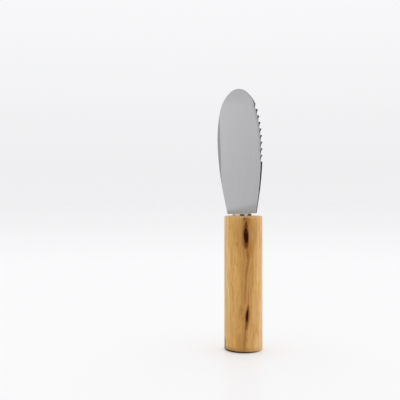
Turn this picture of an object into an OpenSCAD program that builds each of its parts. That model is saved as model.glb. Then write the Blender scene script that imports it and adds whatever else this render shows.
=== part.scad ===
// Butter knife: a broad steel spreading blade in a turned wooden handle.
// It stands on the handle's foot, centred on the origin, with +Z up.
// The blade lies in the XZ plane, its serrated edge towards +X and its bevelled front face towards -Y.

/* [Handle] */
// Diameter of the turned wooden handle
handle_d = 22; // [18:0.5:30]
// Height of the handle
handle_h = 77.1; // [65:0.1:110]
// Rounding of the handle's top rim
top_round = 1; // [0.4:0.1:2]
// Rounding of the foot's edge
foot_round = 0.8; // [0.4:0.1:2]
// Distance of the bore from the handle's axis, towards the smooth edge
bore_off = 0.7; // [0:0.1:1.5]

/* [Blade] */
// Length of the blade from its shoulder to its tip
blade_l = 72; // [66:0.1:78]
// Width of the blade at its widest place
blade_w = 25.9; // [23:0.1:29]
// Height of the widest place above the shoulder
belly_h = 41; // [38:0.5:45]
// Width of the blade at its shoulder
shoulder_w = 16.9; // [14:0.1:20]
// Radius of the tip
tip_r = 6.7; // [6:0.1:8]
// Rounding of the shoulder's two corners
corner_r = 0.6; // [0.2:0.1:1.5]
// Thickness of the steel plate
plate_t = 1.5; // [1.2:0.1:2]
// Lean of the blade towards its smooth edge, in degrees
lean = 1.7; // [0:0.1:2.5]

/* [Serrated edge] */
// Number of gullets
gullet_count = 9; // [5:1:9]
// Distance from one tooth to the next along the edge
gullet_pitch = 3.8; // [3:0.1:4]
// Depth of a gullet
gullet_depth = 0.85; // [0.4:0.05:1.2]
// Width of the land left on each tooth
land_w = 0.2; // [0.1:0.05:0.6]
// Distance of the topmost tooth above the widest place, along the edge
teeth_rise = 22.6; // [19:0.1:24]
// Width of the bevel on the front face
bevel_w = 1.05; // [0.5:0.05:1.2]
// Width of the bevel where it runs out at the shoulder
bevel_end_w = 0.6; // [0.3:0.05:0.8]
// Thickness left at the bevelled edge
edge_t = 0.5; // [0.3:0.05:0.8]

/* [Smooth edge] */
// Width of the ground flats at the widest place
flat_w = 1.6; // [0.8:0.1:2.5]
// Depth of each ground flat at the edge
flat_depth = 0.45; // [0.2:0.05:0.5]

/* [Tang] */
// Length of the tang below the shoulder
tang_l = 40; // [30:0.5:50]
// Width of the tang
tang_w = 5.5; // [4.5:0.1:6]
// Radius of the notches that key the tang in its adhesive
notch_r = 0.8; // [0.4:0.1:1.2]

/* [Collar] */
// Diameter of the collar
collar_d = 11.4; // [11:0.1:14]
// Height of the collar's side above the handle
collar_rim_h = 1.1; // [0.6:0.05:1.15]
// Height of the collar's dome above its side
dome_h = 0.6; // [0.5:0.05:1.2]
// Height of the blade's shoulder above the handle
shoulder_h = 1.2; // [0.9:0.05:1.6]
// Length of the spigot in the bore
spigot_l = 4; // [2:0.1:8]

/* [Fits] */
// Clearance round the plate in the collar's slot and window
slot_gap = 0.05; // [0.03:0.01:0.15]
// Clearance round the spigot in the bore
spigot_gap = 0.05; // [0.03:0.01:0.15]
// Least adhesive between the tang's edges and the bore's wall
glue_gap = 0.5; // [0.3:0.05:1]
// Adhesive between the tang's end and the bore's floor
glue_end = 2; // [1:0.1:4]

/* [Hidden] */
$fa = 1;
$fs = 0.3;
over = 1;                       // overrun of every cut

// Where the arcs of the blade's upper edge meet, in degrees from its centre line
tip_turn = 41;
cheek_turn = 77.5;
// Curve of the flank, as a share of the one arc that would reach the shoulder's corner
flank_share = 0.92;
// Heights of the tang's notches, as shares of the tang below the collar
notch_shares = [0.3, 0.5, 0.7];
drill_point = 118;              // included angle of the bore's drilled floor, in degrees

// Heights above the foot
shoulder_z = handle_h + shoulder_h;

// The blade's upper edge is three tangent arcs: belly, cheek and tip.
// The radii of belly and cheek follow from the width and the rise that the arcs have to cover.
half_w = blade_w / 2;
rise = blade_l - belly_h;
cheek_across = sin(cheek_turn) - sin(tip_turn);
cheek_up = cos(tip_turn) - cos(cheek_turn);
belly_across = 1 - sin(cheek_turn);
belly_up = cos(cheek_turn);
left_across = half_w - tip_r * sin(tip_turn);
left_up = rise - tip_r * (1 - cos(tip_turn));
turn_det = cheek_across * belly_up - belly_across * cheek_up;
cheek_r = (left_across * belly_up - belly_across * left_up) / turn_det;
belly_r = (cheek_across * left_up - cheek_up * left_across) / turn_det;
tip_c = [0, blade_l - tip_r];
cheek_c = tip_c + (tip_r - cheek_r) * [sin(tip_turn), cos(tip_turn)];
belly_c = [half_w - belly_r, belly_h];
tip_joint = tip_c.y + tip_r * cos(tip_turn);
cheek_joint = cheek_c.y + cheek_r * cos(cheek_turn);
belly_run = belly_r * (90 - cheek_turn) * PI / 180;

// The flank below the belly is one long arc, which a straight taper meets at a tangent.
half_shoulder = shoulder_w / 2;
flank_in = half_w - half_shoulder;
flank_r = flank_share * (flank_in ^ 2 + belly_h ^ 2) / (2 * flank_in);
flank_c = [half_w - flank_r, belly_h];
to_corner = [half_shoulder, 0] - flank_c;
flank_turn = atan2(to_corner.y, to_corner.x) + acos(flank_r / norm(to_corner));
flank_foot = flank_c + flank_r * [cos(flank_turn), sin(flank_turn)];
corner_c = [half_shoulder - corner_r * (1 + sin(flank_turn)) / cos(flank_turn), corner_r];
corner_side = corner_c + corner_r * [cos(flank_turn), sin(flank_turn)];

// The gullets are round, and their radius leaves the land between one and the next.
gullet_chord = gullet_pitch - land_w;
gullet_r = (gullet_chord ^ 2 / 4 + gullet_depth ^ 2) / (2 * gullet_depth);

// Below the belly the bevel is ground on one arc that narrows it towards the shoulder.
bevel_in = flank_in - bevel_w + bevel_end_w;
bevel_low_r = (bevel_in ^ 2 + belly_h ^ 2) / (2 * bevel_in);
bevel_h = plate_t - edge_t;

// The bore is wide enough for the leaning tang, and the drill leaves a pointed floor.
bore_r = tang_w / 2 + tang_l * sin(lean) + glue_gap;
bore_floor = shoulder_z - tang_l - glue_end;
point_h = bore_r / tan(drill_point / 2);
spigot_r = bore_r - spigot_gap;
dome_r = (collar_d ^ 2 / 4 + dome_h ^ 2) / (2 * dome_h);

// Places a piece drawn face on, X across and Y up from the shoulder, in the assembled knife.
module seated() {
    translate([-bore_off, 0, shoulder_z])
        rotate([90, 0, 0])
            rotate([0, 0, lean])
                children();
}

// Outline between an arc of the right edge and its mirror image, from one height to another.
module outline_band(centre, r, low, high) {
    intersection() {
        translate(centre) circle(r);
        mirror([1, 0]) translate(centre) circle(r);
        translate([-half_w - over, low]) square([blade_w + 2 * over, high - low]);
    }
}

module taper_outline() {
    right = [[corner_c.x, 0], corner_side, flank_foot];
    left = [for (i = [2:-1:0]) [-right[i].x, right[i].y]];
    polygon(concat(right, left));
    for (side = [1, -1]) translate([side * corner_c.x, corner_c.y]) circle(corner_r);
}

module blade_outline() {
    translate(tip_c) circle(tip_r);
    outline_band(cheek_c, cheek_r, cheek_joint, tip_joint);
    outline_band(belly_c, belly_r, belly_h, cheek_joint);
    outline_band(flank_c, flank_r, flank_foot.y, belly_h);
    taper_outline();
}

// The stick tang has a blunt point and notches along both edges, and it runs up into the blade.
module tang_outline() {
    point = tang_w / 3;
    below = tang_l - spigot_l - shoulder_h;
    difference() {
        polygon([
            [-tang_w / 2, corner_r], [-tang_w / 2, point - tang_l], [point - tang_w / 2, -tang_l],
            [tang_w / 2 - point, -tang_l], [tang_w / 2, point - tang_l], [tang_w / 2, corner_r]
        ]);
        for (share = notch_shares, side = [1, -1])
            translate([side * tang_w / 2, share * below - tang_l]) circle(notch_r);
    }
}

module plate() {
    linear_extrude(plate_t, center = true) children();
}

// Cuts the front bevel where the children's outline lies outside a cone about an arc's centre.
module bevel_cut(centre, r) {
    translate([0, 0, edge_t - plate_t / 2]) difference() {
        linear_extrude(bevel_h + over) children();
        translate([centre.x, centre.y, -over])
            cylinder(
                h = bevel_h + 3 * over,
                r1 = r + bevel_w * (1 + over / bevel_h),
                r2 = r - bevel_w * 2 * over / bevel_h
            );
    }
}

// How far along the edge from the widest place the middle of a gullet lies, counted from the top.
function gullet_run(i) = teeth_rise - (i + 0.5) * gullet_pitch;
function turn_of(run, r) = run / r * 180 / PI;

// The arc that the edge follows there, and the turn about its centre.
function edge_place(run) =
    run > belly_run ? [cheek_c, cheek_r, 90 - cheek_turn + turn_of(run - belly_run, cheek_r)] :
    run > 0 ? [belly_c, belly_r, turn_of(run, belly_r)] :
    [flank_c, flank_r, turn_of(run, flank_r)];

module gullet_outline(i) {
    place = edge_place(gullet_run(i));
    translate(place[0])
        rotate(place[2])
            translate([place[1] + gullet_r - gullet_depth, 0]) circle(gullet_r);
}

// The bevel starts in the middle of the first gullet and runs down to the shoulder.
module bevel_cuts() {
    first_turn = turn_of(gullet_run(0), belly_r);
    reach = (belly_r + over) / cos(first_turn);
    bevel_cut(belly_c, belly_r - bevel_w)
        translate(belly_c) polygon([[0, 0], [reach, 0], reach * [cos(first_turn), sin(first_turn)]]);
    bevel_cut([half_w - bevel_w - bevel_low_r, belly_h], bevel_low_r)
        translate([0, -over]) square([half_w + over, belly_h + over]);
}

// One ground flat: its inner border is straight, so the curved edge makes it a long lens.
module flat_cut() {
    translate([flat_w - half_w, 0, plate_t / 2])
        rotate([0, -atan(flat_depth / flat_w), 0])
            translate([-flat_w - over, 0, 0])
                cube([flat_w + over, blade_l, plate_t]);
}

module blade() {
    color("lightsteelblue") seated() difference() {
        plate() {
            difference() {
                blade_outline();
                for (i = [0:gullet_count - 1]) gullet_outline(i);
            }
            tang_outline();
        }
        bevel_cuts();
        flat_cut();
        mirror([0, 0, 1]) flat_cut();
    }
}

// The bore's space, from the drill's point up to a height.
module bore_space(top) {
    translate([-bore_off, 0, bore_floor]) {
        cylinder(h = top - bore_floor, r = bore_r);
        translate([0, 0, -point_h]) cylinder(h = point_h, r1 = 0, r2 = bore_r);
    }
}

// Half section of the turned handle.
module handle_section() {
    r = handle_d / 2;
    translate([0, foot_round]) square([r, handle_h - foot_round - top_round]);
    square([r - foot_round, handle_h / 2]);
    translate([0, handle_h / 2]) square([r - top_round, handle_h / 2]);
    translate([r - foot_round, foot_round]) circle(foot_round);
    translate([r - top_round, handle_h - top_round]) circle(top_round);
}

module handle() {
    color("burlywood") difference() {
        rotate_extrude() handle_section();
        bore_space(handle_h + over);
    }
}

// Half section of the collar, with Y = 0 at the handle's top.
module collar_section() {
    r = collar_d / 2;
    top = collar_rim_h + dome_h;
    translate([0, -spigot_l]) square([spigot_r, spigot_l + collar_rim_h]);
    intersection() {
        square([r, top]);
        translate([0, top - dome_r]) circle(dome_r);
    }
}

module collar() {
    wide = collar_d + over;
    slot_t = plate_t + 2 * slot_gap;
    window_w = tang_w + 2 * slot_gap;
    color("silver") difference() {
        translate([-bore_off, 0, handle_h]) rotate_extrude() collar_section();
        seated() {
            translate([-wide / 2, 0, -slot_t / 2]) cube([wide, dome_h + over, slot_t]);
            translate([-window_w / 2, -tang_l, -slot_t / 2]) cube([window_w, tang_l + over, slot_t]);
        }
    }
}

module adhesive() {
    color("khaki") difference() {
        bore_space(handle_h - spigot_l);
        seated() plate() tang_outline();
    }
}

handle();
collar();
blade();
adhesive();
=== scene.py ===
import math

import bpy
from mathutils import Matrix, Vector


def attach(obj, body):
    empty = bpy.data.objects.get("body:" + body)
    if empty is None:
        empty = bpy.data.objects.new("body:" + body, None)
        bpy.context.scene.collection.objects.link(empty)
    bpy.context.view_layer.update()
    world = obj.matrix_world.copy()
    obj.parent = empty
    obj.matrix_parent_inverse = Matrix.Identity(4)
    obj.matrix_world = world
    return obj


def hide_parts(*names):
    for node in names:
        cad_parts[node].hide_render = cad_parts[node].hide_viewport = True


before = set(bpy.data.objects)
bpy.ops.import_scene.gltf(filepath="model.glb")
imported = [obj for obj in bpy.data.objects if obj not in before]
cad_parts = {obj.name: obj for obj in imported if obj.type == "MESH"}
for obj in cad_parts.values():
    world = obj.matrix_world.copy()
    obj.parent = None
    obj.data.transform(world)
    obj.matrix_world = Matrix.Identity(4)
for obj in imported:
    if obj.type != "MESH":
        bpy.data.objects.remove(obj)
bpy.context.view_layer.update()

# The knife stands on its foot at the origin, +Z up, the blade's front face towards -Y
# and its serrated edge towards +X. Sizes below are in millimetres, the scene is in metres.
mm = 0.001
scene = bpy.context.scene


# Drawing and mesh helpers

weldGap = 0.002     # points that lie closer than this become one


def dropSelection():
    bpy.ops.object.select_all(action="DESELECT")


def grab(piece):
    dropSelection()
    piece.select_set(True)
    bpy.context.view_layer.objects.active = piece


def at(x, z, y=0.0):
    return Vector((x, y, z))


class Pen:
    # draws one chain of vertices with Blender's own operators and keeps its last place in mm
    def __init__(self, name, start):
        dropSelection()
        bpy.ops.mesh.primitive_plane_add(size=mm)
        self.piece = bpy.context.object
        self.piece.name = self.piece.data.name = name
        bpy.ops.object.mode_set(mode="EDIT")
        bpy.ops.mesh.select_mode(type="VERT")
        bpy.ops.mesh.merge(type="CENTER")
        bpy.ops.transform.translate(value=start * mm)
        self.place = start.copy()

    def lineTo(self, target, cuts=1):
        step = (target - self.place) / cuts
        for _ in range(cuts):
            bpy.ops.mesh.extrude_vertices_move(TRANSFORM_OT_translate={"value": step * mm})
        self.place = target.copy()

    def arcTo(self, centre, target, chord):
        # turns the last vertex about the centre, in the XZ plane, until it faces the target
        start, end = self.place - centre, target - centre
        turn = math.atan2(start.x * end.z - start.z * end.x, start.x * end.x + start.z * end.z)
        steps = max(2, math.ceil(abs(turn) * start.length / chord))
        bpy.ops.mesh.spin(steps=steps, angle=turn, center=centre * mm, axis=(0, 1, 0))
        self.place = centre + Matrix.Rotation(turn, 3, Vector((0, -1, 0))) @ start


def closeOutline(thickness):
    # fills the drawn chain and gives it thickness towards the viewer
    bpy.ops.mesh.select_all(action="SELECT")
    bpy.ops.mesh.remove_doubles(threshold=2 * weldGap * mm)
    bpy.ops.mesh.edge_face_add()
    bpy.ops.mesh.extrude_region_move(TRANSFORM_OT_translate={"value": (0, -thickness * mm, 0)})
    closeMesh()


def closeMesh():
    bpy.ops.mesh.select_all(action="SELECT")
    bpy.ops.mesh.remove_doubles(threshold=weldGap * mm)
    bpy.ops.mesh.normals_make_consistent(inside=False)
    bpy.ops.object.mode_set(mode="OBJECT")


def cutAway(piece, cutter):
    grab(piece)
    cut = piece.modifiers.new("cut", "BOOLEAN")
    cut.operation, cut.solver, cut.object = "DIFFERENCE", "EXACT", cutter
    bpy.ops.object.modifier_apply(modifier=cut.name)
    bpy.data.objects.remove(cutter, do_unlink=True)


def pickFaces(piece, wanted):
    # selects the faces that pass the test and leaves the piece in edit mode
    grab(piece)
    bpy.ops.object.mode_set(mode="EDIT")
    bpy.ops.mesh.select_mode(type="FACE")
    bpy.ops.mesh.select_all(action="DESELECT")
    bpy.ops.object.mode_set(mode="OBJECT")
    for face in piece.data.polygons:
        face.select = wanted(face)
    bpy.ops.object.mode_set(mode="EDIT")


def boxAround(name, low, high):
    dropSelection()
    bpy.ops.mesh.primitive_cube_add(size=1)
    box = bpy.context.object
    box.name = name
    bpy.ops.object.mode_set(mode="EDIT")
    bpy.ops.transform.resize(value=(high - low) * mm)
    bpy.ops.transform.translate(value=(high + low) / 2 * mm)
    bpy.ops.object.mode_set(mode="OBJECT")
    return box


# Blade: one plate with its tang, drawn face on from the shoulder up, then seated

blade = {
    # its outline, and how it leans and stands in the collar
    "length": 72.0, "width": 25.9, "bellyHeight": 41.0, "shoulderWidth": 16.9,
    "tipRadius": 6.7, "tipTurn": 41.0, "cheekTurn": 77.5, "flankShare": 0.92,
    "cornerRadius": 0.6, "plate": 1.5, "lean": 1.7, "shoulderAt": 78.3, "offset": 0.7,
    # gullets, with the tab and the level step below the lowest and the highest of them
    "gullets": 9, "pitch": 3.8, "depth": 0.85, "land": 0.2, "teethRise": 22.6,
    "stepLow": 0.7, "stepHigh": 1.15, "tabLow": 0.2, "tabHigh": 0.45, "openness": 1.4,
    # grinding: the bevel in two stretches, the crescents, the narrow rim and the flats
    "bevel": 1.05, "bevelEnd": 0.6, "bevelTop": 1.3, "topRadius": 75.0, "topTurn": 25.0,
    "edge": 0.5, "overrun": 1.0, "scoop": 0.9, "scoopRise": 0.3,
    "rim": 0.45, "rimDepth": 0.2, "rimBack": 7.5, "rimTurn": 16.0, "rimLap": 1.0,
    "flat": 1.6, "flatDepth": 0.45,
    # the tang, its notches by height and how much of it the handle hides
    "tangLength": 40.0, "tangWidth": 5.5, "notch": 0.8, "notchAt": (0.3, 0.5, 0.7),
    "tangHidden": 34.8,
    # how finely it is drawn and ground, and how far a wheel reaches past it
    "chord": 0.5, "gulletChord": 0.24, "notchChord": 0.2, "cornerChord": 0.15, "sideCuts": 12,
    "wheelChord": 0.7, "wheelSides": 72, "wheelClear": 0.5, "wheelWidth": 2.0,
    "smoothUnder": 12.0,
}


def sinDeg(angle):
    return math.sin(math.radians(angle))


def cosDeg(angle):
    return math.cos(math.radians(angle))


def bladeArcs(b):
    # the edge is four tangent arcs: flank, belly, cheek and tip, from the shoulder up
    half, rise = b["width"] / 2, b["length"] - b["bellyHeight"]
    tip, cheek = b["tipTurn"], b["cheekTurn"]
    cheekX, cheekZ = sinDeg(cheek) - sinDeg(tip), cosDeg(tip) - cosDeg(cheek)
    bellyX, bellyZ = 1 - sinDeg(cheek), cosDeg(cheek)
    leftX = half - b["tipRadius"] * sinDeg(tip)
    leftZ = rise - b["tipRadius"] * (1 - cosDeg(tip))
    share = cheekX * bellyZ - bellyX * cheekZ
    cheekR = (leftX * bellyZ - bellyX * leftZ) / share
    bellyR = (cheekX * leftZ - cheekZ * leftX) / share
    inward = half - b["shoulderWidth"] / 2
    flankR = b["flankShare"] * (inward ** 2 + b["bellyHeight"] ** 2) / (2 * inward)
    tipC = at(0, b["length"] - b["tipRadius"])
    cheekC = tipC + (b["tipRadius"] - cheekR) * at(sinDeg(tip), cosDeg(tip))
    return [
        {"centre": at(half - flankR, b["bellyHeight"]), "radius": flankR,
         "end": at(half, b["bellyHeight"])},
        {"centre": at(half - bellyR, b["bellyHeight"]), "radius": bellyR,
         "end": cheekC + cheekR * at(sinDeg(cheek), cosDeg(cheek))},
        {"centre": cheekC, "radius": cheekR,
         "end": tipC + b["tipRadius"] * at(sinDeg(tip), cosDeg(tip))},
        {"centre": tipC, "radius": b["tipRadius"], "end": at(0, b["length"])},
    ]


def meet(arc, centre, radius, upper):
    # where a round gullet meets the edge's arc, above or below the gullet's middle
    across = centre - arc["centre"]
    along = (across.length_squared + arc["radius"] ** 2 - radius ** 2) / (2 * across.length)
    aside = math.sqrt(arc["radius"] ** 2 - along ** 2) * (1 if upper else -1)
    out = across.normalized()
    return arc["centre"] + along * out + aside * at(-out.z, out.x)


def throughBoth(first, second, radius):
    # the centre of the arc that runs through two points, on their right-hand side
    across = second - first
    aside = math.sqrt(radius ** 2 - across.length_squared / 4)
    out = across.normalized()
    return (first + second) / 2 + aside * at(out.z, -out.x)


def arcRadius(chord, depth):
    return (chord ** 2 / 4 + depth ** 2) / (2 * depth)


def drawBlade(b):
    arcs = bladeArcs(b)
    flank, belly = arcs[0], arcs[1]
    tang, point = b["tangWidth"] / 2, b["tangWidth"] / 3
    toCorner = at(b["shoulderWidth"] / 2, 0) - flank["centre"]
    taper = math.atan2(toCorner.z, toCorner.x) + math.acos(flank["radius"] / toCorner.length)
    side = at(math.cos(taper), math.sin(taper))
    corner = at(
        b["shoulderWidth"] / 2 - b["cornerRadius"] * (1 + side.z) / side.x, b["cornerRadius"]
    )
    cornerSide = corner + b["cornerRadius"] * side
    taperEnd = flank["centre"] + flank["radius"] * side

    back = at(0, 0, b["plate"] / 2)
    pen = Pen("blade.steel", at(0, -b["tangLength"]) + back)

    def mirrored(place):
        return Vector((-place.x, place.y, place.z))

    def draw(target, cuts=1):
        pen.lineTo(target + back, cuts)

    def turn(centre, target, chord=b["chord"]):
        pen.arcTo(centre + back, target + back, chord)

    def tangSide(flip, heights):
        for height in heights:
            middle = at(flip * tang, height * b["tangHidden"] - b["tangLength"])
            draw(middle - flip * at(0, b["notch"]))
            turn(middle, middle - at(flip * b["notch"], 0), b["notchChord"])
            turn(middle, middle + flip * at(0, b["notch"]), b["notchChord"])

    draw(at(tang - point, -b["tangLength"]))
    draw(at(tang, point - b["tangLength"]))
    tangSide(1, b["notchAt"])
    draw(at(tang, 0))
    draw(at(corner.x, 0))
    turn(corner, cornerSide, b["cornerChord"])
    draw(taperEnd, b["sideCuts"])

    # up the serrated edge, one gullet after the other, then on over the tip
    radius = arcRadius(b["pitch"] - b["land"], b["depth"])
    bellyRun = belly["radius"] * math.radians(90 - b["cheekTurn"])

    def arcOf(run):
        return 0 if run < 0 else 1 if run < bellyRun else 2

    def along(run):
        arc = arcs[arcOf(run)]
        start = math.radians(90 - b["cheekTurn"]) if arcOf(run) == 2 else 0
        beyond = run - bellyRun if arcOf(run) == 2 else run
        angle = start + beyond / arc["radius"]
        return arc["centre"], arc["radius"], at(math.cos(angle), math.sin(angle))

    here = 0

    def follow(target, arc):
        nonlocal here
        while here < arc:
            turn(arcs[here]["centre"], arcs[here]["end"])
            here += 1
        turn(arcs[here]["centre"], target)

    gullets = []
    for i in reversed(range(b["gullets"])):
        run = b["teethRise"] - (i + 0.5) * b["pitch"]
        centre, reach, out = along(run)
        middle = centre + (reach + radius - b["depth"]) * out
        half = (b["pitch"] - b["land"]) / 2
        high = meet(arcs[arcOf(run + half)], middle, radius, True)
        # each gullet starts with a level step, so the tooth below it stands out like a tab
        share = 1 - i / (b["gullets"] - 1)
        tab = b["tabLow"] + (b["tabHigh"] - b["tabLow"]) * share
        centre, reach, out = along(run - half + tab)
        low = centre + reach * out
        step = low - at(b["stepLow"] + (b["stepHigh"] - b["stepLow"]) * share, 0)
        follow(low, arcOf(run - half + tab))
        draw(step)
        turn(throughBoth(step, high, radius * b["openness"]), high, b["gulletChord"])
        here = arcOf(run + half)
        scoopR = arcRadius((high - low).length, b["depth"])
        gullets.append((throughBoth(low, high, scoopR), scoopR))
    follow(arcs[3]["end"], 3)

    # down the smooth edge and back to the tang's end
    ends = [arc["end"] for arc in arcs[:3]]
    for arc, end in zip(reversed(arcs), reversed(ends)):
        turn(mirrored(arc["centre"]), mirrored(end))
    turn(mirrored(flank["centre"]), mirrored(taperEnd))
    draw(mirrored(cornerSide), b["sideCuts"])
    turn(mirrored(corner), mirrored(corner) - at(0, b["cornerRadius"]), b["cornerChord"])
    draw(at(-tang, 0))
    tangSide(-1, reversed(b["notchAt"]))
    draw(at(-tang, point - b["tangLength"]))
    draw(at(point - tang, -b["tangLength"]))
    draw(at(0, -b["tangLength"]))
    closeOutline(b["plate"])
    return pen.piece, gullets


def grinder(b, centre, radius, width, depth, start, turn):
    # a wedge swept along the edge, which grinds one stretch of bevel or rim on the front
    front, clear, beyond = -b["plate"] / 2, b["wheelClear"], width + b["wheelWidth"]
    slope, back = width / depth, front + depth
    steps = math.ceil(abs(turn) * radius / b["wheelChord"])
    place = Matrix.Rotation(start, 3, Vector((0, -1, 0)))
    profile = [centre + place @ Vector((radius + out, y, 0)) for out, y in (
        (-clear * slope, front - clear), (width, back), (beyond, back),
        (beyond, front - clear))]
    pen = Pen("grinder", profile[0])
    for corner in profile[1:]:
        pen.lineTo(corner)
    bpy.ops.mesh.select_all(action="SELECT")
    bpy.ops.mesh.edge_face_add()
    bpy.ops.mesh.spin(steps=steps, angle=turn, center=centre * mm, axis=(0, 1, 0))
    closeMesh()
    return pen.piece


def scoopGullets(b, piece, gullets):
    # each gullet is ground out from the front, a little from above, which leaves a slanted
    # crescent round it
    front, back, clear = -b["plate"] / 2, b["plate"] / 2 - b["edge"], b["wheelClear"]
    depth = back - front + clear
    wider = b["scoop"] * depth / (back - front)
    for middle, reach in gullets:
        middle, radius = middle + at(0, b["scoopRise"]), reach - b["scoopRise"]
        dropSelection()
        bpy.ops.mesh.primitive_cone_add(
            vertices=b["wheelSides"], radius1=(radius + wider) * mm, radius2=radius * mm,
            depth=depth * mm, location=(middle + at(0, 0, back - depth / 2)) * mm,
            rotation=(-math.pi / 2, 0, 0))
        cutAway(piece, bpy.context.object)


def grindBlade(b, piece, gullets):
    half, up, depth = b["width"] / 2, b["bellyHeight"], b["plate"] - b["edge"]
    cheek, tip = bladeArcs(b)[2:]
    inward = half - b["shoulderWidth"] / 2 - b["bevel"] + b["bevelEnd"]
    lowR, topR = (inward ** 2 + up ** 2) / (2 * inward), b["topRadius"]
    # the two stretches meet inside a gullet
    split = min(middle.z for middle, radius in gullets if middle.z > up) - up
    lowStart, topStart = split / lowR, split / topR
    lowTurn = -math.asin((up + b["overrun"]) / lowR) - lowStart
    topTurn = math.radians(b["topTurn"]) - topStart
    line = half - b["bevel"]
    cutAway(piece, grinder(b, at(line - lowR, up), lowR, b["bevel"], depth, lowStart, lowTurn))
    cutAway(piece, grinder(b, at(line - topR, up), topR, b["bevelTop"], depth, topStart, topTurn))
    scoopGullets(b, piece, gullets)

    # a narrow rim goes on up the cheek, and a wider arc lets it run out just short of the apex
    tipSide = at(sinDeg(b["tipTurn"]), cosDeg(b["tipTurn"]))
    for centre, radius, low, high in (
        (cheek["centre"], cheek["radius"] - b["rim"], b["cheekTurn"], b["tipTurn"]),
        (tip["centre"] - b["rimBack"] * tipSide, tip["radius"] - b["rim"] + b["rimBack"],
         b["tipTurn"] + b["rimLap"], b["tipTurn"] - b["rimTurn"]),
    ):
        cutAway(piece, grinder(b, centre, radius, b["rim"], b["rimDepth"],
                               math.radians(90 - low), math.radians(low - high)))

    # the smooth edge has a flat ground on each face, which its curve makes a long lens
    lean = math.atan2(b["flatDepth"], b["flat"])
    for face in (-1, 1):
        grab(piece)
        bpy.ops.object.mode_set(mode="EDIT")
        bpy.ops.mesh.select_all(action="SELECT")
        bpy.ops.mesh.bisect(
            plane_co=at(b["flat"] - half, 0, face * b["plate"] / 2) * mm,
            plane_no=(-math.sin(lean), face * math.cos(lean), 0),
            use_fill=True, clear_outer=True, threshold=weldGap / 2 * mm,
        )
        closeMesh()


# the bevel, the crescents and the flats differ in slope: the size of their normals' y
slopes = {"bevel": (0.68, 0.93), "crescent": (0.45, 0.68), "flat": (0.93, 0.985)}


def groundAs(finish):
    low, high = slopes[finish]
    return lambda face: low < abs(face.normal.y) <= high


def seat(b, piece):
    grab(piece)
    bpy.ops.object.mode_set(mode="EDIT")
    bpy.ops.mesh.select_all(action="SELECT")
    bpy.ops.transform.rotate(
        value=math.radians(b["lean"]), orient_axis="Y", center_override=(0, 0, 0)
    )
    bpy.ops.transform.translate(value=at(-b["offset"], b["shoulderAt"]) * mm)
    bpy.ops.object.mode_set(mode="OBJECT")


print("blade: drawing the plate")
bladePiece, gullets = drawBlade(blade)
print("blade: grinding the bevel, the gullets and the flats")
grindBlade(blade, bladePiece, gullets)
seat(blade, bladePiece)


# Collar: a turned steel button with a low dome, slotted for the plate

collar = {
    "diameter": 11.4, "rimHeight": 1.1, "domeHeight": 0.6, "rounding": 0.05,
    "spigotRadius": 4.387, "spigotLength": 4.0, "slotGap": 0.05,
    "clearAside": 0.5, "clearAbove": 1.0,       # how far the slot's cutter reaches past it
    "sides": 144, "roundChord": 0.04, "domeChord": 0.3, "smoothUnder": 30.0,
}


def turnSection(pen, axisX, sides):
    # spins a drawn half section round its upright axis into a closed piece
    bpy.ops.mesh.select_all(action="SELECT")
    bpy.ops.mesh.spin(steps=sides, angle=2 * math.pi, center=at(axisX, 0) * mm, axis=(0, 0, 1))
    closeMesh()
    return pen.piece


def turnCollar(c, b, handleTop):
    axis = at(-b["offset"], 0)
    radius, top = c["diameter"] / 2, handleTop + c["rimHeight"] + c["domeHeight"]
    domeR = (radius ** 2 + c["domeHeight"] ** 2) / (2 * c["domeHeight"])
    domeC = axis + at(0, top - domeR)
    inner = radius - c["rounding"]
    roundC = domeC + at(inner, math.sqrt((domeR - c["rounding"]) ** 2 - inner ** 2))
    roundTop = domeC + (roundC - domeC).normalized() * domeR
    pen = Pen("collar.steel", axis + at(0, handleTop - c["spigotLength"]))
    pen.lineTo(axis + at(c["spigotRadius"], handleTop - c["spigotLength"]))
    pen.lineTo(axis + at(c["spigotRadius"], handleTop))
    pen.lineTo(axis + at(radius, handleTop))
    pen.lineTo(at(axis.x + radius, roundC.z - c["rounding"] / 2))
    pen.lineTo(at(axis.x + radius, roundC.z))
    pen.arcTo(roundC, roundTop, c["roundChord"])
    pen.arcTo(domeC, axis + at(0, top), c["domeChord"])
    piece = turnSection(pen, axis.x, c["sides"])

    wide, thick = radius + c["clearAside"], b["plate"] / 2 + c["slotGap"]
    window = b["tangWidth"] / 2 + c["slotGap"]
    for low, high in (
        (at(-wide, 0, -thick), at(wide, c["domeHeight"] + c["clearAbove"], thick)),
        (at(-window, -b["tangLength"], -thick), at(window, c["clearAbove"], thick)),
    ):
        cutter = boxAround("slotCutter", low, high)
        seat(b, cutter)
        cutAway(piece, cutter)
    return piece


# Handle: a turned stick with two knots, bored for the tang

handle = {
    "diameter": 22.0, "height": 77.1, "topRound": 1.0, "footRound": 1.25,
    "boreRadius": 4.437, "boreFloor": 36.3, "drillPoint": 118.0, "drillClear": 1.0,
    "sides": 192, "boreSides": 144, "ringHeight": 0.6, "endRings": 3, "rimChord": 0.16,
    # the turned skin wanders a little between its even ends, and the knots are sunk into it
    "skinGap": 0.1, "evenEnd": 2.0, "unevenness": 0.05, "waveLength": 18.0,
    "dentDepth": 0.35, "dentSlope": 2.0, "fineReach": 1.6, "fineCuts": 2,
    "smoothUnder": 40.0,
}

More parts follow.
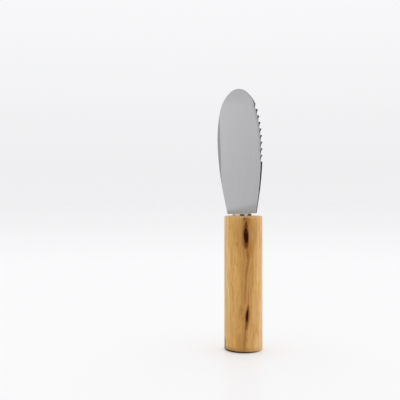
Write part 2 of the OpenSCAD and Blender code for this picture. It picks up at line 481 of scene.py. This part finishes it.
# Marks in the wood, each a pointed lens on the front: centre x and z, half width, half length,
# slant, softness of its outline, how far it covers, and its tone in 0 to 255 steps.
woodMarks = {
    "heart": (0.6, 46.0, 4.6, 70.0, 0.0, 1.0, 0.34, (168, 118, 62)),
    "aboveShade": (0.8, 74.8, 2.9, 7.5, 0.0, 1.0, 0.55, (152, 100, 46)),
    "topSpot": (-0.05, 75.8, 0.55, 1.3, 0.0, 0.7, 1.0, (98, 56, 14)),
    "topDot": (1.0, 75.9, 0.45, 1.0, 0.0, 0.8, 0.8, (118, 74, 26)),
    "amber": (3.0, 58.0, 2.0, 5.6, -0.1, 1.0, 0.6, (184, 120, 48)),
    "edgeStreak": (4.9, 46.0, 0.8, 20.0, 0.0, 1.0, 0.4, (176, 126, 68)),
    "paleGrain": (-4.5, 40.0, 1.3, 10.0, 0.0, 1.0, 0.4, (222, 180, 114)),
    "upperShade": (0.8, 66.5, 9.0, 15.0, 0.0, 1.0, 0.36, (152, 98, 48)),
    "upperHalo": (0.75, 66.1, 2.5, 7.8, -0.05, 0.9, 0.85, (110, 66, 34)),
    "upperTail": (0.8, 71.3, 1.1, 4.2, 0.0, 0.8, 0.9, (98, 56, 12)),
    "upperFoot": (0.9, 61.6, 1.8, 4.2, -0.04, 1.0, 0.95, (104, 58, 14)),
    "upperKnot": (0.84, 66.1, 1.25, 4.5, -0.06, 0.35, 1.0, (46, 4, 0)),
    "upperGleam": (0.75, 68.2, 0.45, 1.2, 0.0, 0.9, 0.4, (112, 70, 40)),
    "rosy": (-0.9, 62.2, 1.0, 2.8, -0.1, 1.0, 0.45, (150, 100, 74)),
    "upperStreak": (1.8, 55.0, 1.1, 5.4, -0.08, 1.0, 0.8, (148, 94, 36)),
    "middleStreak": (1.3, 47.4, 1.1, 7.4, 0.13, 1.0, 0.7, (154, 100, 44)),
    "longStreak": (0.4, 36.5, 0.9, 12.0, 0.04, 1.0, 0.6, (160, 110, 56)),
    "sideStreak": (2.2, 32.0, 0.5, 6.0, 0.0, 1.0, 0.5, (150, 100, 48)),
    "lowerShade": (-2.0, 22.5, 2.6, 5.5, 0.0, 1.0, 0.28, (140, 90, 42)),
    "lowerHalo": (1.45, 20.9, 1.8, 6.4, 0.07, 0.9, 0.8, (116, 70, 34)),
    "lowerTail": (1.9, 25.0, 0.9, 3.2, 0.1, 0.8, 0.75, (118, 68, 20)),
    "lowerFoot": (1.05, 15.8, 1.1, 4.0, 0.12, 0.9, 0.75, (112, 64, 16)),
    "lowerKnot": (1.45, 20.9, 0.75, 3.9, 0.08, 0.4, 1.0, (64, 8, 0)),
    "footStreak": (0.3, 9.0, 1.0, 12.5, 0.04, 1.0, 0.45, (144, 96, 48)),
    "footShade": (-2.2, 5.5, 3.2, 8.0, 0.0, 1.0, 0.3, (148, 98, 50)),
    "paleStreak": (5.4, 31.5, 1.2, 16.0, 0.03, 1.0, 0.5, (224, 182, 122)),
    "lightSide": (2.8, 8.0, 1.4, 11.0, 0.0, 1.0, 0.45, (222, 176, 114)),
    "lightFoot": (6.8, 3.6, 1.8, 6.5, 0.0, 1.0, 0.6, (236, 196, 140)),
    "smudge": (-4.2, 61.4, 0.7, 1.4, 0.0, 1.0, 0.45, (146, 102, 44)),
    "footPatch": (-11.0, 4.4, 1.3, 5.0, 0.0, 1.0, 0.6, (104, 70, 40)),
}
knots = ("upperKnot", "lowerKnot")


def lensAt(mark, x, z):
    # 0 in the middle of a mark, 1 on its outline
    midX, midZ, halfWidth, halfLength, slant = mark[:5]
    rise = z - midZ
    return ((x - midX - slant * rise) / halfWidth) ** 2 + (rise / halfLength) ** 2


def turnHandle(h, b):
    radius, top = h["diameter"] / 2, h["height"]
    footR, topR = radius - h["footRound"], radius - h["topRound"]
    pen = Pen("handle.wood", at(0, 0))
    pen.lineTo(at(footR, 0), h["endRings"])
    pen.arcTo(at(footR, h["footRound"]), at(radius, h["footRound"]), h["rimChord"])
    straight = top - h["topRound"] - h["footRound"]
    pen.lineTo(at(radius, top - h["topRound"]), round(straight / h["ringHeight"]))
    pen.arcTo(at(topR, top - h["topRound"]), at(topR, top), h["rimChord"])
    pen.lineTo(at(0, top), h["endRings"])
    piece = turnSection(pen, 0, h["sides"])

    # finer faces round the knots, which the grain has shrunk back from
    def nearKnot(face):
        x, y, z = face.center / mm
        return y < 0 and any(lensAt(woodMarks[k], x, z) < h["fineReach"] for k in knots)

    pickFaces(piece, nearKnot)
    bpy.ops.mesh.subdivide(number_cuts=h["fineCuts"])
    bpy.ops.object.mode_set(mode="OBJECT")
    dent = piece.vertex_groups.new(name="dent")
    skin = piece.vertex_groups.new(name="skin")
    for point in piece.data.vertices:
        x, y, z = point.co / mm
        fromAxis = math.hypot(x, y)
        if abs(fromAxis - radius) < h["skinGap"] and h["evenEnd"] < z < top - h["evenEnd"]:
            skin.add([point.index], 1.0, "REPLACE")
        if y < 0 and fromAxis > radius - h["skinGap"]:
            depth = max(1 - lensAt(woodMarks[k], x, z) for k in knots)
            if depth > 0:
                dent.add([point.index], min(1.0, h["dentSlope"] * depth), "REPLACE")
    lathe = bpy.data.textures.new("latheMarks", "CLOUDS")
    lathe.noise_scale = h["waveLength"] * mm
    for group, strength, texture in (
        ("skin", h["unevenness"], lathe), ("dent", -h["dentDepth"], None)
    ):
        push = piece.modifiers.new(group, "DISPLACE")
        push.vertex_group, push.strength, push.texture = group, strength * mm, texture
        push.mid_level = 0.5 if texture else 0
        grab(piece)
        bpy.ops.object.modifier_apply(modifier=push.name)

    drill = h["boreRadius"] / math.tan(math.radians(h["drillPoint"] / 2))
    axis = at(-b["offset"], 0)
    pen = Pen("drill", axis + at(0, h["boreFloor"] - drill))
    pen.lineTo(axis + at(h["boreRadius"], h["boreFloor"]))
    pen.lineTo(axis + at(h["boreRadius"], top + h["drillClear"]))
    pen.lineTo(axis + at(0, top + h["drillClear"]))
    cutAway(piece, turnSection(pen, axis.x, h["boreSides"]))
    return piece


print("collar: turning and slotting it")
collarPiece = turnCollar(collar, blade, handle["height"])
print("handle: turning and boring it")
handlePiece = turnHandle(handle, blade)


# Materials

noiseSpan = (0.3, 0.7)      # nearly all of a noise's values lie between these


def tone(red, green, blue):
    # a colour in 0 to 255 display steps, as a shader takes it
    def linear(step):
        share = step / 255
        return share / 12.92 if share <= 0.04045 else ((share + 0.055) / 1.055) ** 2.4
    return (linear(red), linear(green), linear(blue), 1.0)


class Shading:
    # short names for the shader nodes of one material or world
    def __init__(self, owner):
        owner.use_nodes = True
        self.tree = owner.node_tree
        self.tree.nodes.clear()

    def add(self, kind, inputs=None, **settings):
        made = self.tree.nodes.new("ShaderNode" + kind)
        for name, value in settings.items():
            setattr(made, name, value)
        for key, value in (inputs or {}).items():
            self.put(made, key, value)
        return made

    def put(self, made, key, value):
        if isinstance(value, bpy.types.NodeSocket):
            self.tree.links.new(value, made.inputs[key])
        else:
            made.inputs[key].default_value = value

    def do(self, operation, *values):
        return self.add("Math", dict(enumerate(values)), operation=operation).outputs[0]

    def point(self, x, y, z):
        return self.add("CombineXYZ", {"X": x, "Y": y, "Z": z}).outputs[0]

    def parts(self, vector):
        return self.add("SeparateXYZ", {0: vector}).outputs

    def millimetres(self, turn=0.0):
        where = self.add("TexCoord").outputs["Object"]
        placed = {"Vector": where, "Rotation": (0, turn, 0), "Scale": (1 / mm,) * 3}
        return self.add("Mapping", placed).outputs[0]

    def noise(self, vector, scale, detail=2.0, roughness=0.5):
        inputs = {"Vector": vector, "Scale": scale, "Detail": detail, "Roughness": roughness}
        return self.add("TexNoise", inputs).outputs[0]

    def between(self, value, low, high, toLow=0.0, toHigh=1.0, smooth=False):
        kind = "SMOOTHSTEP" if smooth else "LINEAR"
        inputs = {0: value, 1: low, 2: high, 3: toLow, 4: toHigh}
        return self.add("MapRange", inputs, interpolation_type=kind).outputs[0]

    def mix(self, factor, first, second):
        made = self.add("Mix", data_type="RGBA", clamp_factor=True)
        for index, value in ((0, factor), (6, first), (7, second)):
            self.put(made, index, value)
        return made.outputs[2]

    def ramp(self, factor, stops):
        made = self.add("ValToRGB", {0: factor})
        elements = made.color_ramp.elements
        while len(elements) < len(stops):
            elements.new(1.0)
        for element, (place, colour) in zip(elements, stops):
            element.position, element.color = place, colour
        return made.outputs[0]

    def surface(self, **values):
        shader = self.add("BsdfPrincipled")
        for key, value in values.items():
            self.put(shader, key, value)
        self.add("OutputMaterial", {"Surface": shader.outputs[0]})
        return shader


def grey(share):
    return (share, share, share, 1.0)


# Oiled wood, in mm and in tones of 0 to 255 steps
grain = {
    # it drifts from side to side, more slowly along the stick, and parts round each knot
    "drift": 3.5, "driftAcross": 0.05, "driftAlong": 0.022,
    "knotWidth": 4.2, "knotLength": 8.0, "knotPull": 0.6,
    # year rings round a pith beside the stick, each darker towards its outside
    "pith": (-34.0, 40.0, 0.0), "ringWidth": 2.1, "ringDrift": 2.5, "ringTone": (164, 110, 50),
    "ringCover": ((0.0, 0.0), (0.5, 0.05), (0.88, 0.22), (1.0, 0.0)),
    # noises drawn out along the stick: share of the height, scale, detail, roughness
    "noises": {
        "streaks": (0.035, 0.6, 2.0, 0.5), "blush": (0.09, 0.35, 2.0, 0.5),
        "flecks": (0.22, 1.6, 2.0, 0.5), "fibres": (0.055, 2.0, 3.0, 0.62),
        "pores": (0.1, 4.5, 1.0, 0.5),
    },
    # tones from the left side to the right, which the streaks shift; the pale ends are a painted
    # sheen where the light grazes both outlines
    "streakShift": 0.5,
    "acrossTonesAndEdgeSheen": (
        (0.0, (238, 206, 162)), (0.12, (218, 170, 93)), (0.25, (219, 171, 102)),
        (0.5, (212, 160, 93)), (0.65, (214, 163, 95)), (0.85, (232, 184, 119)),
        (1.0, (246, 210, 158))),
    # layers over them: a noise, the values where it starts and is full, cover and tone
    "layers": (
        ("blush", 0.48, 0.32, 0.5, (208, 170, 90)), ("blush", 0.52, 0.68, 0.5, (214, 152, 98)),
        ("flecks", 0.45, 0.28, 0.35, (168, 116, 54)),
        ("flecks", 0.55, 0.72, 0.35, (228, 184, 122)),
        ("fibres", 0.5, 0.28, 0.55, (166, 112, 52)), ("fibres", 0.52, 0.72, 0.6, (232, 190, 128)),
        ("pores", 0.62, 0.72, 0.2, (122, 74, 32))),
    # the marks are on the front, and the fibres make their outlines wobble
    "frontReach": 3.0, "markWobble": 0.9,
    # relief of fibres and pores
    "relief": 0.06, "reliefStrength": 0.25, "poreSpan": (0.62, 0.72), "poreDepth": 0.6,
}
handleEnds = {
    # the rim's pale band, down from the top: partly paler sanded wood, partly a painted highlight
    # of the light from above
    "rimPaleAndHighlightFrom": 1.3, "rimPaleAndHighlightFull": 0.6, "rimPaleAndHighlightCover": 0.5, "rimPaleAndHighlightTone": (216, 178, 134),
    # the oiled end grain, in from the side on the top face
    "oilFrom": 0.9, "oilFull": 2.2, "oilCover": 0.75, "oilTone": (150, 98, 52), "topFace": 0.1,
    # painted shade at the foot near the floor, by height; its cover falls from one x to another
    "footShadingFrom": 4.0, "footShadingFull": 1.2, "footShadingTone": (120, 78, 42),
    "footShadingAcross": (-10.0, 9.0, 0.45, 0.12),
    # a painted shadow along the foot's edge, a little lower on the right, and the paler band
    # under it
    "edgeShadowFrom": 1.3, "edgeShadowFull": 0.85, "edgeShadowSlant": 0.03, "edgeShadowTone": (58, 36, 20),
    "edgeShadowAcross": (5.0, 9.5, 1.0, 0.3),
    "bottomPaleFrom": 0.5, "bottomPaleFull": 0.25, "bottomPaleCover": 0.75, "bottomPaleTone": (200, 166, 128),
}


def oiledWood(g, e, h):
    material = bpy.data.materials.new("oiledWood")
    s = Shading(material)
    x, y, z = s.parts(s.millimetres())
    front = s.between(y, 0.0, -g["frontReach"], smooth=True)

    # the grain wanders, and it parts round each knot
    drift = s.noise(s.point(s.do("MULTIPLY", x, g["driftAcross"]),
                            s.do("MULTIPLY", y, g["driftAcross"]),
                            s.do("MULTIPLY", z, g["driftAlong"])), 1.0)
    grainX = s.do("MULTIPLY_ADD", s.do("SUBTRACT", drift, 0.5), g["drift"], x)
    for name in knots:
        midX, midZ = woodMarks[name][:2]
        across = s.do("SUBTRACT", x, midX)
        rise = s.do("SUBTRACT", z, midZ)
        near = s.do("ADD", s.do("POWER", s.do("DIVIDE", across, g["knotWidth"]), 2.0),
                    s.do("POWER", s.do("DIVIDE", rise, g["knotLength"]), 2.0))
        pull = s.do("MULTIPLY", s.do("EXPONENT", s.do("MULTIPLY", near, -1.0)), front)
        pull = s.do("MULTIPLY", s.do("MULTIPLY", across, pull), g["knotPull"])
        grainX = s.do("SUBTRACT", grainX, pull)

    rings = s.add("VectorMath", {0: s.point(grainX, y, 0.0), 1: g["pith"]},
                  operation="DISTANCE").outputs["Value"]
    rings = s.do("MULTIPLY_ADD", drift, g["ringDrift"], s.do("DIVIDE", rings, g["ringWidth"]))
    noises = {}
    for name, (along, scale, detail, roughness) in g["noises"].items():
        where = s.point(grainX, y, s.do("MULTIPLY", z, along))
        noises[name] = s.noise(where, scale, detail, roughness)
    fibres, pores = noises["fibres"], noises["pores"]

    top, reach = h["height"], h["diameter"] / 2
    # the pale ends of these tones are a painted sheen at the outlines
    shift = s.do("SUBTRACT", noises["streaks"], 0.5)
    across = s.do("MULTIPLY_ADD", shift, g["streakShift"], s.between(x, -reach, reach))
    colour = s.ramp(across, [(place, tone(*stop)) for place, stop in g["acrossTonesAndEdgeSheen"]])
    ringCover = s.ramp(s.do("FRACT", rings),
                       [(place, grey(cover)) for place, cover in g["ringCover"]])
    colour = s.mix(ringCover, colour, tone(*g["ringTone"]))
    for name, start, full, cover, layer in g["layers"]:
        colour = s.mix(s.between(noises[name], start, full, 0.0, cover), colour, tone(*layer))

    wobble = s.do("MULTIPLY_ADD", s.do("SUBTRACT", fibres, 0.5), g["markWobble"], x)
    for midX, midZ, halfWidth, halfLength, slant, soft, cover, markTone in woodMarks.values():
        rise = s.do("SUBTRACT", z, midZ)
        offLine = s.do("MULTIPLY_ADD", rise, -slant, s.do("SUBTRACT", wobble, midX))
        side = s.do("POWER", s.do("DIVIDE", offLine, halfWidth), 2.0)
        up = s.do("POWER", s.do("DIVIDE", rise, halfLength), 2.0)
        inside = s.between(s.do("ADD", side, up), 1.0, 1.0 - soft, 0.0, cover, smooth=True)
        colour = s.mix(s.do("MULTIPLY", inside, front), colour, tone(*markTone))

    # the rim is paler, partly sanded wood and partly a painted highlight of the light from above,
    # and the end grain inside it has drunk more oil
    rimPaleAndHighlight = s.between(z, top - e["rimPaleAndHighlightFrom"], top - e["rimPaleAndHighlightFull"], 0.0, e["rimPaleAndHighlightCover"], smooth=True)
    colour = s.mix(rimPaleAndHighlight, colour, tone(*e["rimPaleAndHighlightTone"]))
    fromAxis = s.do("SQRT", s.do("ADD", s.do("POWER", x, 2.0), s.do("POWER", y, 2.0)))
    oil = s.between(fromAxis, reach - e["oilFrom"], reach - e["oilFull"], 0.0, e["oilCover"],
                    smooth=True)
    oil = s.do("MULTIPLY", oil, s.do("GREATER_THAN", z, top - e["topFace"]))
    colour = s.mix(oil, colour, tone(*e["oilTone"]))

    # the foot has painted shade near the floor, more on the left, a darker painted shadow along
    # its edge, and it is paler at the very bottom
    footShading = s.between(x, *e["footShadingAcross"])
    footShading = s.between(z, e["footShadingFrom"], e["footShadingFull"], 0.0, footShading, smooth=True)
    colour = s.mix(footShading, colour, tone(*e["footShadingTone"]))
    # painted shadow along the foot's edge, where it meets the floor
    edgeShadow = s.between(x, *e["edgeShadowAcross"])
    slanted = s.do("MULTIPLY_ADD", x, e["edgeShadowSlant"], z)
    edgeShadow = s.between(slanted, e["edgeShadowFrom"], e["edgeShadowFull"], 0.0, edgeShadow, smooth=True)
    colour = s.mix(edgeShadow, colour, tone(*e["edgeShadowTone"]))
    bottomPale = s.between(z, e["bottomPaleFrom"], e["bottomPaleFull"], 0.0, e["bottomPaleCover"])
    colour = s.mix(bottomPale, colour, tone(*e["bottomPaleTone"]))

    height = s.do("ADD", fibres, s.between(pores, *g["poreSpan"], 0.0, -g["poreDepth"]))
    bump = s.add("Bump", {"Strength": g["reliefStrength"], "Distance": g["relief"] * mm,
                          "Height": height})
    s.surface(**{"Base Color": colour, "Roughness": s.between(fibres, *noiseSpan, 0.42, 0.54),
                 "Specular IOR Level": 0.12, "Specular Tint": tone(255, 212, 160),
                 "Sheen Weight": 0.3, "Sheen Roughness": 0.3, "Sheen Tint": tone(255, 246, 232),
                 "Normal": bump.outputs[0]})
    return material


# Steel of the blade, placed in its own upright frame: x across it and z along it, in mm
steel = {
    "blueCast": 1.025, "scratchAlong": 0.012, "scratchScale": 5.0, "scratchDetail": 4.0,
    "scratchSharpness": 0.7, "scratchGloss": 0.04,
    # brighter towards the smooth side, a painted reflection
    "brightFrom": 8.0, "brightFull": -13.0, "brightCover": 0.5, "brightGain": 1.16,
    "brightMost": 0.97,
    # darker in a band beside the teeth, in from the bevel's line and between two heights
    "teethBandFrom": 2.2, "teethBandFull": 0.2, "teethBandLow": (110.0, 116.0), "teethBandHigh": (143.0, 140.0),
    "teethBandShare": 0.83,
    # painted shade towards the shoulder, from the right, and a painted reflection of the warm
    # wood
    "shadeSlant": -0.25, "shadeFrom": 83.2, "shadeFull": 79.4, "shadeShare": 0.82,
    "woodReflectionFrom": 81.0, "woodReflectionFull": 79.3, "woodReflectionShares": (0.88, 0.81, 0.74),
}
# name, brightness, roughness, anisotropy, contrast of the scratches, and where it fades by
# height to a share of its brightness, a painted change in what the steel reflects
bladeFinishes = (
    ("satinSteel", 0.7, 0.42, 0.6, 0.035, ((139.0, 148.0, 0.92),)),
    ("groundSteel", 0.41, 0.2, 0.0, 0.03,
     ((106.0, 110.0, 0.45), (138.5, 141.0, 0.72), (142.0, 147.0, 1.1))),
    ("flatSteel", 0.36, 0.24, 0.0, 0.02, ()),
    ("scoopedSteel", 0.23, 0.5, 0.0, 0.02, ()),
)


def cool(share):
    # the faintly blue grey of the steel
    return (share, share, share * steel["blueCast"], 1.0)


def teethCentre(b):
    # the middle of the bevel's upper arc, in the blade's own upright frame
    seatX, seatZ = -b["offset"], b["shoulderAt"]
    lean = b["lean"]
    across = b["width"] / 2 - b["bevel"] - b["topRadius"]
    return (across + seatX * cosDeg(lean) + seatZ * sinDeg(lean), 0.0,
            b["bellyHeight"] + seatZ * cosDeg(lean) - seatX * sinDeg(lean))


def brushedSteel(name, base, roughness, anisotropy, scratch, fades):
    # fine scratches along the blade spread what it reflects, and its smooth side has a painted
    # brighter reflection
    material = bpy.data.materials.new(name)
    s = Shading(material)
    x, y, z = s.parts(s.millimetres(math.radians(blade["lean"])))
    where = s.point(x, y, s.do("MULTIPLY", z, steel["scratchAlong"]))
    lines = s.noise(where, steel["scratchScale"], steel["scratchDetail"],
                    steel["scratchSharpness"])
    dark, light = noiseSpan
    colour = s.ramp(lines, [(dark, cool(base - scratch)), (light, cool(base + scratch))])
    bright = s.between(x, steel["brightFrom"], steel["brightFull"], 0.0, steel["brightCover"])
    brightest = min(steel["brightMost"], base * steel["brightGain"])
    colour = s.mix(bright, colour, cool(brightest))
    inward = s.add("VectorMath", {0: s.point(x, 0.0, z), 1: teethCentre(blade)},
                   operation="DISTANCE").outputs["Value"]
    bevelLine = blade["topRadius"]
    teethBand = s.between(inward, bevelLine - steel["teethBandFrom"], bevelLine - steel["teethBandFull"],
                     smooth=True)
    teethBand = s.do("MULTIPLY", teethBand, s.between(z, *steel["teethBandLow"]))
    teethBand = s.do("MULTIPLY", teethBand, s.between(z, *steel["teethBandHigh"]))
    colour = s.mix(teethBand, colour, cool(base * steel["teethBandShare"]))
    # painted changes in what the steel reflects, by height
    for low, high, share in fades:
        colour = s.mix(s.between(z, low, high, smooth=True), colour, cool(base * share))

    # towards the shoulder it has painted shade, from the right, and a painted reflection of the
    # warm wood
    slanted = s.do("MULTIPLY_ADD", x, steel["shadeSlant"], z)
    shade = s.between(slanted, steel["shadeFrom"], steel["shadeFull"], smooth=True)
    colour = s.mix(shade, colour, grey(base * steel["shadeShare"]))
    woodReflection = s.between(z, steel["woodReflectionFrom"], steel["woodReflectionFull"], smooth=True)
    woodReflectionTone = [base * share for share in steel["woodReflectionShares"]]
    colour = s.mix(woodReflection, colour, (*woodReflectionTone, 1.0))
    gloss = steel["scratchGloss"]
    shader = s.surface(**{
        "Base Color": colour, "Metallic": 1.0,
        "Roughness": s.between(lines, *noiseSpan, roughness - gloss, roughness + gloss),
    })
    shader.inputs["Anisotropic"].default_value = anisotropy
    s.put(shader, "Tangent", s.point(1.0, 0.0, 0.0))
    return material


def polishedSteel():
    material = bpy.data.materials.new("polishedSteel")
    s = Shading(material)
    swirl = s.noise(s.millimetres(), 0.8, 3.0)
    s.surface(**{"Base Color": (0.76, 0.71, 0.655, 1.0), "Metallic": 1.0,
                 "Roughness": s.between(swirl, *noiseSpan, 0.05, 0.09)})
    return material


def curedEpoxy():
    material = bpy.data.materials.new("curedEpoxy")
    s = Shading(material)
    cloud = s.noise(s.millimetres(), 0.35, 3.0)
    dark, light = noiseSpan
    colour = s.ramp(cloud, [(dark, tone(222, 205, 160)), (light, tone(236, 224, 186))])
    s.surface(**{"Base Color": colour, "Roughness": s.between(cloud, *noiseSpan, 0.28, 0.4)})
    return material


print("materials")
for piece, materials in (
    (bladePiece, [brushedSteel(*finish) for finish in bladeFinishes]),
    (collarPiece, [polishedSteel()]),
    (handlePiece, [oiledWood(grain, handleEnds, handle)]),
):
    piece.data.materials.clear()
    for material in materials:
        piece.data.materials.append(material)
for index, finish in ((1, "bevel"), (2, "flat"), (3, "crescent")):
    pickFaces(bladePiece, groundAs(finish))
    bladePiece.active_material_index = index
    bpy.ops.object.material_slot_assign()
    bpy.ops.object.mode_set(mode="OBJECT")
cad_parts["adhesive"].material_slots[0].material = curedEpoxy()

for piece, numbers in ((bladePiece, blade), (collarPiece, collar), (handlePiece, handle)):
    grab(piece)
    bpy.ops.object.shade_smooth_by_angle(angle=math.radians(numbers["smoothUnder"]))


# Stage: a pale floor that fades into the background, soft light all round, the camera

studio = {
    # the camera, in metres
    "cameraAt": (-0.0250, -0.3695, 0.0862), "lens": 57.6, "sensor": 36.0,
    "nearest": 0.01, "farthest": 200.0,
    # the sheet, in metres: its own glow, its faint polish and where the steel stops seeing it
    "floorRadius": 60.0, "floorSides": 96, "lift": 0.35, "polish": 0.06, "polishBlur": 0.2,
    "sheetReach": 0.5,
    # tones of the sheet by distance, of the backdrop by height, and how much blue they gain
    "floorFade": 10.0, "floorTones": (
        (0.0, 251.2), (0.05, 250.8), (0.09, 247.3), (0.19, 242.6), (1.0, 239.5)),
    "backdropTop": 0.342, "backdropTones": (
        (0.0, 239.5), (0.153, 239), (0.341, 241), (0.508, 243.5), (0.687, 245.5), (0.855, 248)),
    "blueGain": 1.5,
    # heights at which the room changes, and how bright it is above them
    "softHigh": (0.3, 0.8), "overhead": 1.0, "gapHigh": (-0.01, 0.012),
    "ceilingHigh": (0.18, 0.4), "ceiling": 0.7,
    # brightness by direction, from -180 through 0 (the camera's side) and 90 (right) to 180
    "lightRing": ((-180, 1.15), (-100, 1.22), (-60, 0.95), (-32, 0.55), (32, 0.55),
                  (60, 1.0), (100, 1.26), (180, 1.15)),
    "mirrorHigh": ((-180, 0.93), (-150, 0.9), (-140, 0.45), (-98, 0.45), (-75, 0.9),
                   (-30, 1.0), (-4, 0.98), (12, 0.72), (60, 0.55), (74, 0.04), (126, 0.04),
                   (142, 0.9), (180, 0.93)),
    "mirrorLow": ((-180, 0.93), (-160, 0.9), (-146, 0.5), (-104, 0.42), (-88, 0.6),
                  (-64, 0.68), (-40, 0.66), (-31, 0.5), (-25, 0.04), (19, 0.04), (25, 0.45),
                  (45, 0.6), (62, 0.42), (74, 0.06), (126, 0.06), (142, 0.9), (180, 0.93)),
}


def pale(step):
    # the paper's own faintly cool white
    return tone(step, step, step + studio["blueGain"])


def layFloor():
    dropSelection()
    bpy.ops.mesh.primitive_circle_add(
        vertices=studio["floorSides"], radius=studio["floorRadius"], fill_type="NGON")
    floor = bpy.context.object
    floor.name = "studioFloor"
    material = bpy.data.materials.new("paleFloor")
    s = Shading(material)
    where = s.add("TexCoord").outputs["Object"]
    away = s.add("VectorMath", {0: where}, operation="LENGTH").outputs["Value"]
    colour = s.ramp(s.between(away, 0.0, studio["floorFade"]),
                    [(place, pale(step)) for place, step in studio["floorTones"]])
    paper = s.add("BsdfDiffuse", {"Color": colour})
    glow = s.add("Emission", {"Color": colour, "Strength": 1.0})
    light = s.add("LightPath").outputs
    lifted = s.add("MixShader", {0: s.do("MULTIPLY", light["Is Camera Ray"], studio["lift"]),
                                 1: paper.outputs[0], 2: glow.outputs[0]})
    # the sheet ends before what the steel mirrors of the room
    gone = s.do("MULTIPLY", light["Is Glossy Ray"],
                s.do("GREATER_THAN", away, studio["sheetReach"]))
    clear = s.add("BsdfTransparent")
    gloss = s.add("BsdfGlossy", {"Color": grey(1.0), "Roughness": studio["polishBlur"]})
    polished = s.add("MixShader", {0: studio["polish"], 1: lifted.outputs[0],
                                   2: gloss.outputs[0]})
    ends = s.add("MixShader", {0: gone, 1: polished.outputs[0], 2: clear.outputs[0]})
    s.add("OutputMaterial", {"Surface": ends.outputs[0]})
    floor.data.materials.append(material)
    return floor


def lightRoom():
    world = bpy.data.worlds.new("studio")
    scene.world = world
    s = Shading(world)
    x, y, z = s.parts(s.add("TexCoord").outputs["Generated"])
    backdrop = s.ramp(s.between(z, 0.0, studio["backdropTop"]),
                      [(place, pale(step)) for place, step in studio["backdropTones"]])
    turn = s.do("ARCTAN2", x, s.do("MULTIPLY", y, -1.0))     # 0 towards the camera's side
    part = s.between(turn, -math.pi, math.pi)

    def ring(stops):
        return s.ramp(part, [((angle + 180) / 360, grey(level)) for angle, level in stops])

    # what lights the wood: bright behind, above and at the sides, weaker from the front
    around = ring(studio["lightRing"])
    soft = s.mix(s.between(z, *studio["softHigh"], smooth=True), around,
                 grey(studio["overhead"]))

    # what the steel mirrors: darker to the right, and a dark gap below, round the camera
    mirrored = s.mix(s.between(z, *studio["gapHigh"], smooth=True), ring(studio["mirrorLow"]),
                     ring(studio["mirrorHigh"]))
    mirrored = s.mix(s.between(z, *studio["ceilingHigh"], smooth=True), mirrored,
                     grey(studio["ceiling"]))

    light = s.add("LightPath").outputs
    colour = s.mix(light["Is Glossy Ray"], soft, mirrored)
    seen = s.do("MAXIMUM", light["Is Camera Ray"], light["Is Transmission Ray"])
    colour = s.mix(seen, colour, backdrop)
    background = s.add("Background", {"Color": colour, "Strength": 1.0})
    s.add("OutputWorld", {"Surface": background.outputs[0]})
    world.cycles.sampling_method = "NONE"       # lamp sampling would mix the two kinds of light


def placeCamera():
    bpy.ops.object.camera_add(location=studio["cameraAt"], rotation=(math.pi / 2, 0, 0))
    camera = bpy.context.object
    camera.name = "camera"
    camera.data.lens, camera.data.sensor_width = studio["lens"], studio["sensor"]
    camera.data.clip_start, camera.data.clip_end = studio["nearest"], studio["farthest"]
    scene.camera = camera


print("stage, light and camera")
floor = layFloor()
lightRoom()
placeCamera()
scene.view_settings.view_transform = "Standard"

for piece, node, slot in (
    (bladePiece, "blade", "blade_steel"), (collarPiece, "collar", "collar_steel"),
    (handlePiece, "handle", "handle_wood"),
):
    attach(piece, "root")
    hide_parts(node)

print("done")
